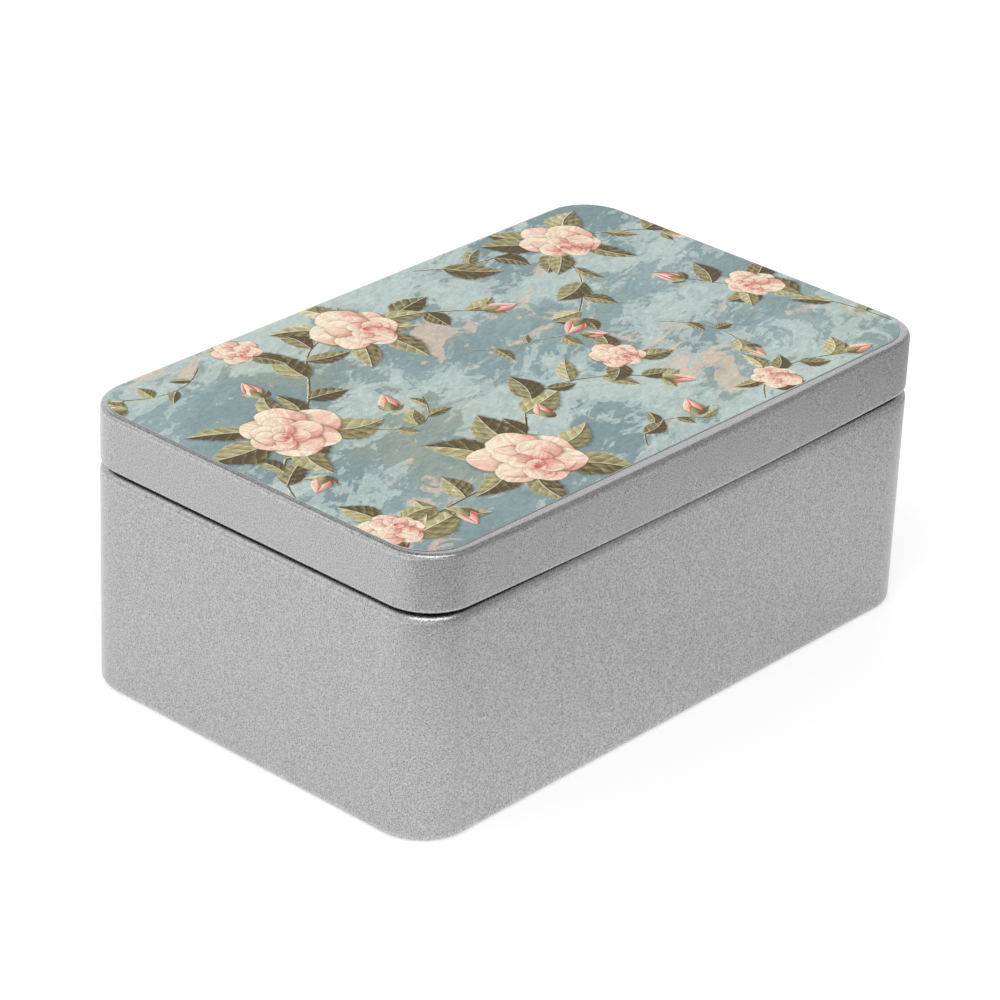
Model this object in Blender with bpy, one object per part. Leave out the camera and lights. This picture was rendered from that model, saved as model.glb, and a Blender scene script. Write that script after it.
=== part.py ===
"""Rectangular tinplate storage box: folded body, recessed base, lift-off stepped lid, printed sheet.

The box stands on its foot at z = 0, centred on the origin, with its long side along X and its
front long face towards -Y. The lid lifts along Z. All lengths are in metres.

Every sheet piece is one strip of tinplate seen in section, carried round a rounded rectangle.
In a section, u runs inwards from the box's outer face and v runs upwards from the foot.
"""

import math

import bmesh
import bpy
import numpy as np

# Whole box, over the metal
BOX_LENGTH = 0.152
BOX_WIDTH = 0.097
BOX_HEIGHT = 0.0624
CORNER_RADIUS = 0.0112

# Tinplate, and the air kept where two pieces bear on each other
SHEET = 0.0003
TOUCH_GAP = 0.0003

# Lid: a drawn cap whose skirt ends in a small inward curl
LID_SKIRT_DEPTH = 0.0125
LID_EDGE_RADIUS = 0.0011
LID_INSET = 0.0001
LID_CURL = 0.0018
LID_CLEARANCE = 0.00035
LID_TRAVEL = 0.09

# Bulge of the lid's long sides at mid-length: both lower edges, and the front top edge
LID_LOWER_BOW = 0.0012
LID_FRONT_TOP_BOW = 0.0009

# Body: a shoulder under the lid, a drawn-in neck and a curled rim
SHOULDER_GAP = 0.0006
SHOULDER_RADIUS = 0.0019
RIM_CURL = 0.0014

# Bottom seam: the body's lower edge folded in round the base plate's flange
FOOT_EDGE_RADIUS = 0.0013
FOOT_FLAT = 0.00095
BASE_RECESS = 0.0024
BASE_EDGE_BEND = 0.0005

# Lock seam that closes the body's strip, in the middle of the rear face
LOCK_SEAM_WIDTH = 0.0046
LOCK_SEAM_EXTRA_SHEETS = 3
LOCK_SEAM_RAMP = 0.0006
LOCK_SEAM_END_GAP = 0.0008
LOCK_GROOVE_WIDTH = 0.0005
LOCK_GROOVE_DEPTH = 0.00015

# Printed sheet on the lid, set back from where the lid's flat top begins
PRINT_THICKNESS = 0.00025
PRINT_GLUE = 0.0001
PRINT_SETBACK = 0.00015
PRINT_FRONT_SETBACK = 0.0011
PRINT_CORNER_RADIUS = 0.0102

# Fineness of the facets
CORNER_STEPS = 8
BOW_STEPS = 8
BEND_STEP_DEGREES = 22.5
SMOOTH_BELOW_DEGREES = 50

# Heights, insets and reaches that follow
lid_lower_edge = BOX_HEIGHT - LID_SKIRT_DEPTH
shoulder_top = lid_lower_edge - SHOULDER_GAP
neck_step = LID_INSET + LID_CURL + LID_CLEARANCE
rim_top = BOX_HEIGHT - SHEET - TOUCH_GAP
half_straight = BOX_LENGTH / 2 - CORNER_RADIUS
fold_radius = SHEET + TOUCH_GAP
fold_centre = FOOT_EDGE_RADIUS + FOOT_FLAT
fold_top = SHEET / 2 + 2 * fold_radius + SHEET / 2
base_top = BASE_RECESS + SHEET

TINPLATE = {"colour": (0.42, 0.42, 0.43), "metallic": 0.85, "roughness": 0.42}
BARE_TIN = {"colour": (0.50, 0.50, 0.50), "metallic": 0.9, "roughness": 0.35}
PRINTED = {"colour": (0.38, 0.47, 0.47), "metallic": 0.0, "roughness": 0.35}


class StripSection:
    """The centre line of a strip in section, drawn as straight runs and bends.

    Each mark holds a point of the centre line, the unit vector to its left and lap, which is
    1 where the lock seam thickens the strip and 0 where it doesn't reach.
    """

    def __init__(self, u, v, heading_degrees):
        self.u = u
        self.v = v
        self.heading = math.radians(heading_degrees)
        self.marks = []
        self.mark()

    def mark(self, lap=0):
        left = (-math.sin(self.heading), math.cos(self.heading))
        self.marks.append((self.u, self.v, *left, lap))

    def run(self, length, lap=0):
        """Goes straight on."""
        self.u += length * math.cos(self.heading)
        self.v += length * math.sin(self.heading)
        self.mark(lap)

    def bend(self, radius, degrees):
        """Goes round an arc of this centre-line radius, to the left where degrees is positive."""
        side = math.copysign(1, degrees)
        centre_u = self.u - side * radius * math.sin(self.heading)
        centre_v = self.v + side * radius * math.cos(self.heading)
        steps = max(1, round(abs(degrees) / BEND_STEP_DEGREES))
        for _ in range(steps):
            self.heading += math.radians(degrees / steps)
            self.u = centre_u + side * radius * math.sin(self.heading)
            self.v = centre_v - side * radius * math.cos(self.heading)
            self.mark()

    def faces(self, lap=0, groove=0):
        """The strip's left and right faces, as two arrays of (u, v).

        The lock seam adds its extra sheets on the right and its groove is cut into the left.
        """
        marks = np.array(self.marks)
        centre, left, lapped = marks[:, :2], marks[:, 2:4], marks[:, 4:]
        outer = centre + left * (SHEET / 2 - lapped * groove * LOCK_GROOVE_DEPTH)
        inner = centre - left * (SHEET / 2 + lapped * lap * LOCK_SEAM_EXTRA_SHEETS * SHEET)
        return outer, inner


def corner_stations(length, width, radius, centre_y=0):
    """Stations round a rounded rectangle, anticlockwise from +X: one list for each corner.

    A station is (x, y, nx, ny): a corner's centre and the outward direction there. A point at
    inset u lies at the centre plus the direction times (radius - u).
    """
    corners = []
    for index, (sign_x, sign_y) in enumerate(((1, 1), (-1, 1), (-1, -1), (1, -1))):
        x = sign_x * (length / 2 - radius)
        y = centre_y + sign_y * (width / 2 - radius)
        angles = np.radians(90 * (index + np.linspace(0, 1, CORNER_STEPS + 1)))
        corners.append([(x, y, math.cos(a), math.sin(a)) for a in angles])
    return corners


def box_stations(steps=1):
    """The box's corners as one closed list of stations, with each long side cut into steps."""
    corners = corner_stations(BOX_LENGTH, BOX_WIDTH, CORNER_RADIUS)
    side_y = BOX_WIDTH / 2 - CORNER_RADIUS
    places = half_straight * np.linspace(-1, 1, steps + 1)[1:-1]
    rear = [(x, side_y, 0, 1) for x in places[::-1]]
    front = [(x, -side_y, 0, -1) for x in places]
    return corners[0] + rear + corners[1] + corners[2] + front + corners[3]


def ring_points(section, station, radius):
    """The section's points carried to a station, as an array of (x, y, z)."""
    x, y, nx, ny = station
    reach = radius - section[:, 0]
    return np.column_stack((x + nx * reach, y + ny * reach, section[:, 1]))


def lid_ring(section, station):
    """The lid's section at a station, moved outwards where the lid's long sides bulge.

    Along a side the bulge is a parabola that ends where the corners begin. Down the skirt it
    goes evenly from its value at the top edge to its value at the lower edge.
    """
    points = ring_points(section, station, CORNER_RADIUS)
    x, y = station[:2]
    along = 1 - (x / half_straight) ** 2
    depth = np.clip((BOX_HEIGHT - section[:, 1]) / LID_SKIRT_DEPTH, 0, 1)
    top_bow = LID_FRONT_TOP_BOW if y < 0 else 0
    points[:, 1] += math.copysign(along, y) * (top_bow + depth * (LID_LOWER_BOW - top_bow))
    return points


def skin_rings(bm, rings, closed):
    """Joins each ring of points to the next with quads, and the last to the first.

    A closed section is a tube. An open one is a cap: its first and last rows become flat faces.
    """
    rows = [[bm.verts.new(point) for point in ring] for ring in rings]
    last = len(rows[0]) if closed else len(rows[0]) - 1
    for row, following in zip(rows, rows[1:] + rows[:1]):
        for i in range(last):
            j = (i + 1) % len(row)
            bm.faces.new((row[i], following[i], following[j], row[j]))
    if not closed:
        bm.faces.new([row[0] for row in rows])
        bm.faces.new([row[-1] for row in rows])


def tin_material(name, colour, metallic, roughness):
    material = bpy.data.materials.new(name)
    material.use_nodes = True
    shader = material.node_tree.nodes["Principled BSDF"]
    shader.inputs["Base Color"].default_value = (*colour, 1)
    shader.inputs["Metallic"].default_value = metallic
    shader.inputs["Roughness"].default_value = roughness
    return material


def add_piece(name, rings, closed, finish, carrier=None):
    """Makes one named piece from its rings, hung on its carrier's origin where it has one."""
    bm = bmesh.new()
    skin_rings(bm, rings, closed)
    bmesh.ops.recalc_face_normals(bm, faces=bm.faces)
    if carrier:
        bmesh.ops.translate(bm, verts=bm.verts, vec=-carrier.location)
    mesh = bpy.data.meshes.new(name)
    bm.to_mesh(mesh)
    bm.free()
    mesh.shade_smooth()
    mesh.set_sharp_from_angle(angle=math.radians(SMOOTH_BELOW_DEGREES))
    mesh.materials.append(tin_material(f"{name}_finish", **finish))
    piece = bpy.data.objects.new(name, mesh)
    piece.parent = carrier
    bpy.context.collection.objects.link(piece)
    return piece


def body_section():
    """The body's strip, from the end of its bottom fold to the end of its rim curl.

    It starts above the foot, folds round the base plate's flange, forms the foot, climbs the
    wall, steps in over the shoulder, climbs the neck and curls inwards at the rim.
    """
    shoulder = min(SHOULDER_RADIUS, neck_step - SHEET)
    neck_fillet = neck_step - shoulder
    curl = RIM_CURL / 2 - SHEET / 2
    strip = StripSection(FOOT_EDGE_RADIUS, fold_top - SHEET / 2, 0)
    strip.run(FOOT_FLAT)
    strip.bend(fold_radius, -180)
    strip.run(FOOT_FLAT)
    strip.bend(FOOT_EDGE_RADIUS - SHEET / 2, -90)
    lapped_climb(strip, base_top + LOCK_SEAM_END_GAP, shoulder_top - shoulder)
    strip.bend(shoulder - SHEET / 2, -90)
    strip.bend(neck_fillet + SHEET / 2, 90)
    lapped_climb(strip, strip.v + LOCK_SEAM_END_GAP, rim_top - RIM_CURL / 2)
    strip.bend(curl, -270)
    return strip


def lapped_climb(strip, seam_start, top):
    """Climbs to top with marks where the lock seam starts and ends."""
    strip.run(seam_start - strip.v)
    strip.run(LOCK_SEAM_RAMP, lap=1)
    seam_end = top - LOCK_SEAM_END_GAP
    strip.run(seam_end - LOCK_SEAM_RAMP - strip.v, lap=1)
    strip.run(LOCK_SEAM_RAMP)
    strip.run(top - seam_end)


def seam_stations():
    """Places across the rear face at the lock seam, from +X to -X, each as (x, lap, groove)."""
    half = LOCK_SEAM_WIDTH / 2
    groove = half - LOCK_GROOVE_WIDTH
    return (
        (half + LOCK_SEAM_RAMP, 0, 0),
        (half, 1, 0),
        (groove + LOCK_GROOVE_WIDTH / 2, 1, 0),
        (groove, 1, 1),
        (groove - LOCK_GROOVE_WIDTH / 2, 1, 0),
        (-half, 1, 0),
        (-half - LOCK_SEAM_RAMP, 0, 0),
    )


def make_body_wall():
    """The body's strip carried once round the box, thickened and grooved at its lock seam."""
    strip = body_section()
    corners = corner_stations(BOX_LENGTH, BOX_WIDTH, CORNER_RADIUS)
    rear_y = BOX_WIDTH / 2 - CORNER_RADIUS
    stops = [(station, 0, 0) for station in corners[0]]
    stops += [((x, rear_y, 0, 1), lap, groove) for x, lap, groove in seam_stations()]
    stops += [(station, 0, 0) for corner in corners[1:] for station in corner]
    rings = []
    for station, lap, groove in stops:
        outer, inner = strip.faces(lap, groove)
        section = np.vstack((outer, inner[::-1]))
        rings.append(ring_points(section, station, CORNER_RADIUS))
    return add_piece("body_wall", rings, True, TINPLATE)


def cap_section(strip):
    """A cap's section from its strip, which starts at the flat panel's edge and heads outwards."""
    under, over = strip.faces()
    return np.vstack((over, under[::-1]))


def make_base_plate():
    """A recessed plate whose flange goes down inside the wall and turns in under the fold."""
    flange = SHEET + TOUCH_GAP + SHEET / 2
    strip = StripSection(flange + BASE_EDGE_BEND, BASE_RECESS + SHEET / 2, 180)
    strip.bend(BASE_EDGE_BEND, 90)
    strip.run(strip.v - FOOT_EDGE_RADIUS)
    strip.bend(FOOT_EDGE_RADIUS - flange, 90)
    strip.run(fold_centre - strip.u)
    section = cap_section(strip)
    rings = [ring_points(section, station, CORNER_RADIUS) for station in box_stations()]
    return add_piece("base_plate", rings, False, BARE_TIN)


def make_lid_shell(lift):
    """A cap with a rounded top edge, a plain skirt and a curl turned in at its lower edge."""
    strip = StripSection(LID_INSET + LID_EDGE_RADIUS, BOX_HEIGHT - SHEET / 2, 180)
    strip.bend(LID_EDGE_RADIUS - SHEET / 2, 90)
    strip.run(strip.v - lid_lower_edge - LID_CURL / 2)
    strip.bend(LID_CURL / 2 - SHEET / 2, 270)
    section = cap_section(strip)
    rings = [lid_ring(section, station) for station in box_stations(BOW_STEPS)]
    return add_piece("lid_shell", rings, False, TINPLATE, lift)


def make_printed_panel(lift):
    """A thin sheet glued on the lid's flat top, set back further along the front edge."""
    side_margin = LID_INSET + LID_EDGE_RADIUS + PRINT_SETBACK
    front_margin = LID_INSET + LID_EDGE_RADIUS + PRINT_FRONT_SETBACK
    length = BOX_LENGTH - 2 * side_margin
    width = BOX_WIDTH - side_margin - front_margin
    centre_y = (front_margin - side_margin) / 2
    corners = corner_stations(length, width, PRINT_CORNER_RADIUS, centre_y)
    under = BOX_HEIGHT + PRINT_GLUE
    section = np.array(((0, under), (0, under + PRINT_THICKNESS)))
    rings = [ring_points(section, station, PRINT_CORNER_RADIUS) for station in sum(corners, [])]
    return add_piece("printed_panel", rings, False, PRINTED, lift)


def make_lid_lift():
    """The lid's axis of travel: an arrow up from the level of the lid's lower edge."""
    lift = bpy.data.objects.new("lid_lift", None)
    lift.location = (0, 0, lid_lower_edge)
    lift.empty_display_type = "SINGLE_ARROW"
    lift.empty_display_size = LID_TRAVEL
    bpy.context.collection.objects.link(lift)
    return lift


for old in list(bpy.data.objects):
    bpy.data.objects.remove(old, do_unlink=True)

make_body_wall()
make_base_plate()
lid_lift = make_lid_lift()
make_lid_shell(lid_lift)
make_printed_panel(lid_lift)
bpy.context.view_layer.update()
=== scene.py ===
"""Dresses a packed tinplate storage box: rolled sheets, a painted floral lid, a plain studio.

The box stands on z = 0 with its long side along X and its front long face towards -Y. Lengths are
in metres. The sheets are drawn as sections, where u runs inwards from the box's face and v upwards,
and each section is carried round a rounded rectangle.
"""

import math

import bpy
import numpy as np
from bpy.props import FloatProperty, FloatVectorProperty, IntProperty, PointerProperty
from mathutils import Matrix, Vector


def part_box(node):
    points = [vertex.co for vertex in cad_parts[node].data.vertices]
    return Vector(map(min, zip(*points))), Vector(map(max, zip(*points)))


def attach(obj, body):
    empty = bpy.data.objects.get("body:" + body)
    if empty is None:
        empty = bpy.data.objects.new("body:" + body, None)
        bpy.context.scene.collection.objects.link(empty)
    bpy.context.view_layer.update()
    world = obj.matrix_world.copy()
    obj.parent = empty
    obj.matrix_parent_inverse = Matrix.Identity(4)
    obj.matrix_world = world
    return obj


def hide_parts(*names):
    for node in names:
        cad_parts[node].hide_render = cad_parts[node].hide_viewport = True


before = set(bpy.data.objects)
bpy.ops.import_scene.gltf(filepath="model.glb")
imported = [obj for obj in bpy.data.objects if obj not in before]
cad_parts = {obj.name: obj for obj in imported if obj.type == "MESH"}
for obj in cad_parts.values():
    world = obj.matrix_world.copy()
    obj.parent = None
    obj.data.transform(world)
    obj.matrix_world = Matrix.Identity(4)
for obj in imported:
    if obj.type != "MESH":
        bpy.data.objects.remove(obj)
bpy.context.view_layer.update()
wall_low, wall_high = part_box("body_wall")
lid_low, lid_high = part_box("lid_shell")
print_low, print_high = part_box("printed_panel")

bl_info = {
    "name": "Tin storage box",
    "version": (1, 0, 0),
    "blender": (4, 5, 0),
    "location": "3D View > Sidebar > Tin box",
    "description": "Makes a rectangular tin with a lift-off lid and a floral print, piece by piece",
    "category": "Object",
}

SMOOTH_BELOW = math.radians(50)
SLACK = 1e-6
MILLIMETRES = 1000


def length(name, description, default):
    """A length in metres."""
    return FloatProperty(
        name=name, description=description, default=default, min=0, unit="LENGTH", precision=5
    )


def colour(name, description, default):
    """A scene-linear colour."""
    return FloatVectorProperty(
        name=name, description=description, default=default, min=0, max=1, subtype="COLOR"
    )


def amount(name, description, default, low=0.0, high=1.0):
    """A plain number."""
    return FloatProperty(name=name, description=description, default=default, min=low, max=high)


def arc(name, description, degrees):
    """An angle, given in degrees."""
    return FloatProperty(
        name=name, description=description, default=math.radians(degrees), subtype="ANGLE"
    )


def faces(name, description, default, low):
    """A number of faces."""
    return IntProperty(name=name, description=description, default=default, min=low)


def watts(name, description, default):
    """A lamp's power."""
    return FloatProperty(name=name, description=description, default=default, min=0, unit="POWER")


class TinBoxSizes(bpy.types.PropertyGroup):
    """Sizes of the rolled sheets, the seams and the printed panel."""

    box_length: length("Length", "Body along X, over the metal", wall_high.x - wall_low.x)
    box_width: length("Width", "Body along Y, over the metal", wall_high.y - wall_low.y)
    box_height: length("Height", "Foot to the lid's flat top", lid_high.z)
    corner_radius: length("Corner radius", "Upright corners, over the metal", 0.0112)
    sheet: length("Sheet", "Thickness of the tinplate", 0.0003)
    touch_gap: length("Touch gap", "Air where two sheets bear on each other", 0.0003)
    skirt_depth: length("Lid skirt", "Flat top to the lid's lower edge", lid_high.z - lid_low.z)
    lid_edge: length("Lid edge radius", "Rounding between top and skirt", 0.0011)
    lid_inset: length("Lid inset", "Skirt behind the body's face", 0.0001)
    lid_curl: length("Lid curl", "Diameter of the skirt's inward curl", 0.0018)
    lid_clearance: length("Lid clearance", "Air between curl and neck", 0.00035)
    lower_bow: length("Lower bow", "Bulge of the long sides at the lid's lower edge", 0.0012)
    top_bow: length("Front top bow", "Bulge of the front side at the lid's top edge", 0.0009)
    shoulder_gap: length("Shoulder gap", "Lid's lower edge above the shoulder", 0.0006)
    shoulder: length("Shoulder radius", "Rounding of the body's shoulder", 0.0019)
    rim_curl: length("Rim curl", "Diameter of the body's inward rim curl", 0.0014)
    foot_edge: length("Foot radius", "Rounding at the body's lower edge", 0.0013)
    foot_flat: length("Foot flat", "Width of the flat ring under the wall", 0.00095)
    base_recess: length("Base recess", "Base plate above the foot", 0.0024)
    base_bend: length("Base bend", "Bend between base plate and flange", 0.0005)
    seam_width: length("Seam width", "Lock seam in the rear face", 0.0046)
    seam_ramp: length("Seam ramp", "Length over which the seam's sheets start", 0.0006)
    seam_end: length("Seam end gap", "Seam's ends short of the bends", 0.0008)
    groove_width: length("Groove width", "Line that the seam shows outside", 0.0005)
    groove_depth: length("Groove depth", "Depth of that line", 0.00015)
    print_corner: length("Print corner", "Corner radius of the printed sheet", 0.0102)
    print_sheet: length("Print sheet", "Its top above the lid's flat top", 0.0002)
    print_glue: length("Print glue", "Its underside above the lid's flat top", 0.00003)
    print_edge: length("Print edge", "Rounding of the printed sheet's upper edge", 0.0001)


class TinBoxGrid(bpy.types.PropertyGroup):
    """How finely the sheets and the print are cut into faces."""

    corner_steps: faces("Corner steps", "Faces round a corner", 16, 4)
    long_steps: faces("Long steps", "Faces along a long side", 24, 2)
    short_steps: faces("Short steps", "Faces along a short side", 12, 2)
    bend_step: arc("Bend step", "Turn per face in a bend", 9)
    support: length("Support", "Strip that keeps the flats flat beside a bend", 0.0004)
    print_cell: length("Print cell", "Face size of the printed sheet", 0.0008)


class TinBoxFinish(bpy.types.PropertyGroup):
    """Colours and grain of the tinplate and the print."""

    tin: colour("Tinplate", "Matt outer tinplate", (0.345, 0.345, 0.345))
    bare_tin: colour("Bare tin", "Plain inner tinplate", (0.50, 0.50, 0.495))
    grain_size: length("Grain size", "Width of the outer tin's fine grain", 0.00013)
    grain_depth: amount("Grain depth", "How far the grain lightens and darkens the tin", 0.30)
    tin_roughness: amount("Tin roughness", "Outer tinplate", 0.30)
    bare_roughness: amount("Bare tin roughness", "Inner tinplate", 0.30)
    ground: colour("Print ground", "Blue-grey of the print's ground", (0.290, 0.385, 0.392))
    ground_deep: colour("Deep ground", "Darker blue-grey strokes of the ground", (0.205, 0.290, 0.305))
    haze: colour("Print haze", "Pale dabs on the ground", (0.545, 0.640, 0.600))
    sage: colour("Print sage", "Green-grey wash over the ground", (0.310, 0.350, 0.270))
    blush: colour("Print blush", "Ragged warm patches in the ground", (0.680, 0.530, 0.410))
    leaf_light: colour("Leaf light", "Lit parts of the leaves", (0.520, 0.480, 0.240))
    leaf_dark: colour("Leaf dark", "Shaded parts of the leaves", (0.130, 0.100, 0.028))
    outline: colour("Outline", "Dark brown line work", (0.045, 0.022, 0.007))
    cream: colour("Cream", "Pale rims and veins", (0.930, 0.830, 0.640))
    petal: colour("Petal", "Body of a petal", (0.860, 0.560, 0.450))
    rose: colour("Rose", "Shaded side of a petal", (0.740, 0.300, 0.230))
    heart: colour("Heart", "Deep centre of a blossom", (0.580, 0.080, 0.055))
    petal_shade: colour("Petal shade", "Ochre base of the outer petals", (0.520, 0.360, 0.200))
    cut_edge: colour("Cut edge", "White edge of the printed sheet", (0.640, 0.630, 0.640))
    print_roughness: amount("Print roughness", "Printed sheet", 0.50)
    print_gloss: amount("Print gloss", "Specular level of the printed sheet", 0.15)


class TinBoxStage(bpy.types.PropertyGroup):
    """Floor, light and camera."""

    azimuth: arc("Azimuth", "Camera round the box", -48.586)
    elevation: arc("Elevation", "Camera above the horizon", 27.315)
    roll: arc("Roll", "Camera turned about its axis", 2.377)
    distance: length("Distance", "Camera from the point it is built round", 0.853495)
    focal: amount("Focal share", "Focal length over sensor width", 4.128996, 0.1, 100)
    centre_right: amount("Centre right", "Aim right of the frame's centre, in frames", 0.009504, -1)
    centre_down: amount("Centre down", "Aim below the frame's centre, in frames", 0.005294, -1)
    target_height: length("Target height", "Height of the point it is built round", 0.030)
    floor_size: length("Floor size", "Side of the floor", 8.0)
    floor_colour: colour("Floor", "Pale floor", (0.66, 0.66, 0.66))
    floor_lift: amount("Floor lift", "Light the floor shows to the camera", 0.48)
    floor_glow: amount("Floor glow", "Light the floor shows to reflections near the box", 0.74)
    floor_near: length("Floor near", "Distance from the box where that light starts to fade", 0.060)
    floor_far: length("Floor far", "Distance where it is gone, except on the left", 0.130)
    floor_side: amount("Floor side", "Share of that light missing at the front right", 0.25)
    sky_low: amount("Low sky", "Brightness near the horizon", 1.08, 0, 4)
    sky_top: amount("Top sky", "Brightness overhead", 0.53, 0, 4)
    sky_turn: amount("Sky turn", "Sine of the height where the low sky ends in front", 0.02, -1)
    sky_rear: amount("Sky rear", "How much higher it ends at the rear", 0.53)
    sky_left: amount("Sky left", "How much higher it ends on the left", 0.80)
    sky_back: amount("Sky back", "How much brighter the low sky is at the right rear", 0.40)
    key_power: watts("Key power", "Soft lamp overhead", 3.7)
    key_width: length("Key width", "Width of that lamp", 1.25)
    key_depth: length("Key depth", "Its other width", 0.45)
    side_power: watts("Side power", "Soft lamp on the left", 0.4)
    side_width: length("Side width", "Width of that lamp both ways", 0.7)


def sheet_path(u, v, degrees, legs, grid):
    """Centre line of a sheet in section, from legs ("run", length, lap) and ("bend", radius, degrees).

    A run goes on by its length in the heading's direction. A bend goes round a circle of its
    radius: each point is the circle's centre plus the radius times the heading turned a quarter
    turn. Returns an array with columns u, v, left u, left v, lap, bend.
    """
    heading = math.radians(degrees)
    lap = 0.0
    rows = [np.array([[u, v, heading, lap, 0.0]])]
    for kind, size, value in legs:
        if kind == "run":
            ends = [1.0]
            if size > 4 * grid.support:
                ends = [grid.support / size, 1 - grid.support / size, 1.0]
            share = np.array(ends)
            u_new = u + share * size * math.cos(heading)
            v_new = v + share * size * math.sin(heading)
            laps = lap + share * (value - lap)
            rows.append(np.column_stack((u_new, v_new, np.full_like(share, heading), laps, 0 * share)))
            lap = value
        else:
            turn = math.radians(value)
            side = math.copysign(1, turn)
            steps = max(1, round(abs(turn) / grid.bend_step))
            headings = heading + turn * np.arange(1, steps + 1) / steps
            u_new = u - side * size * (math.sin(heading) - np.sin(headings))
            v_new = v + side * size * (math.cos(heading) - np.cos(headings))
            rows.append(np.column_stack((u_new, v_new, headings, 0 * headings, np.ones_like(headings))))
            heading = headings[-1]
        u, v = u_new[-1], v_new[-1]
    path = np.vstack(rows)
    left = np.column_stack((-np.sin(path[:, 2]), np.cos(path[:, 2])))
    return np.column_stack((path[:, :2], left, path[:, 3:]))


def strip_faces(path, sheet, lap=0.0, groove=0.0):
    """The sheet's left and right faces: the centre line plus and minus half the sheet along its left.

    lap adds that thickness on the right and groove cuts that depth into the left, both where the
    path is lapped. They may be columns with one value for each station.
    """
    lapped = path[:, 4]
    left_reach = sheet / 2 - groove * lapped
    right_reach = sheet / 2 + lap * lapped
    left_face = path[:, :2] + path[:, 2:4] * left_reach[..., None]
    right_face = path[:, :2] - path[:, 2:4] * right_reach[..., None]
    return left_face, right_face


class Plan:
    """A rounded rectangle seen from above, as matching columns of stations front and rear.

    A station is an anchor and an outward normal. A point at inset u lies at the anchor plus the
    normal times (radius - u). Rows share out the way from a front point to the rear point behind it.
    """

    def __init__(self, span_x, span_y, radius, grid, centre_y=0.0, steps=None, places=()):
        long_steps, short_steps = steps or (grid.long_steps, grid.short_steps)
        self.radius = radius
        self.half_straight = span_x / 2 - radius
        half_side = span_y / 2 - radius
        edge = min(grid.support, self.half_straight / 4)
        along = np.linspace(-self.half_straight, self.half_straight, long_steps + 1)[1:-1]
        ends = np.array([edge - self.half_straight, self.half_straight - edge])
        along = np.unique(np.round(np.concatenate((along, ends, np.array(places, float))), 7))
        turn = np.linspace(0, math.pi / 2, grid.corner_steps + 1)
        corner_x = np.full_like(turn, self.half_straight)
        zeros = np.zeros_like(along)
        self.anchor_x = np.concatenate((-corner_x, along, corner_x))
        self.normal_x = np.concatenate((-np.cos(turn), zeros, np.sin(turn)))
        self.normal_y = np.concatenate((np.sin(turn), zeros + 1, np.cos(turn)))
        self.centre_y = centre_y
        self.half_side = half_side
        side_edge = edge / (2 * half_side)
        share = np.linspace(0, 1, short_steps + 1)[1:-1]
        self.rows = np.unique(np.concatenate(([0, side_edge], share, [1 - side_edge, 1])))

    def side(self, u, sign):
        """Front (sign -1) or rear (sign 1) points at inset u, from -X to +X."""
        reach = self.radius - np.asarray(u)[..., None]
        x = self.anchor_x + self.normal_x * reach
        y = self.centre_y + sign * (self.half_side + self.normal_y * reach)
        return x, y

    def loop(self, front, rear):
        """Joins front and rear columns and the short sides into one anticlockwise loop."""
        inner = self.rows[1:-1]
        right = front[..., -1:] + (rear[..., -1:] - front[..., -1:]) * inner
        left = rear[..., :1] + (front[..., :1] - rear[..., :1]) * (1 - inner[::-1])
        return np.concatenate((front, right, rear[..., ::-1], left), axis=-1)

    def both(self, values):
        """The loop of values that front and rear share."""
        return self.loop(values, values)

    def sheet_grid(self, front, rear):
        """Rows of values shared out between each front value and the rear one behind it."""
        return front + (rear - front) * self.rows[:, None]


def loop_of(index):
    """The border of a grid of indices, anticlockwise from its first row's start."""
    return np.concatenate((index[0], index[1:-1, -1], index[-1, ::-1], index[-2:0:-1, 0]))


def grid_quads(index):
    """Quads of a grid of indices, facing up where columns run along +X and rows along +Y."""
    quads = np.stack((index[:-1, :-1], index[:-1, 1:], index[1:, 1:], index[1:, :-1]), axis=-1)
    return quads.reshape(-1, 4)


def band_quads(upper, lower):
    """Quads between two closed loops of indices, facing out where the second lies below."""
    quads = np.stack((upper, lower, np.roll(lower, -1), np.roll(upper, -1)), axis=-1)
    return quads.reshape(-1, 4)


def outward(points, quads):
    """Turns all quads round where the closed surface's signed volume is negative."""
    a, b, c, d = (points[quads[:, k]] for k in range(4))
    volume = np.einsum("ij,ij->", a, np.cross(b, c)) + np.einsum("ij,ij->", a, np.cross(c, d))
    return quads if volume > 0 else quads[:, ::-1]


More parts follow.
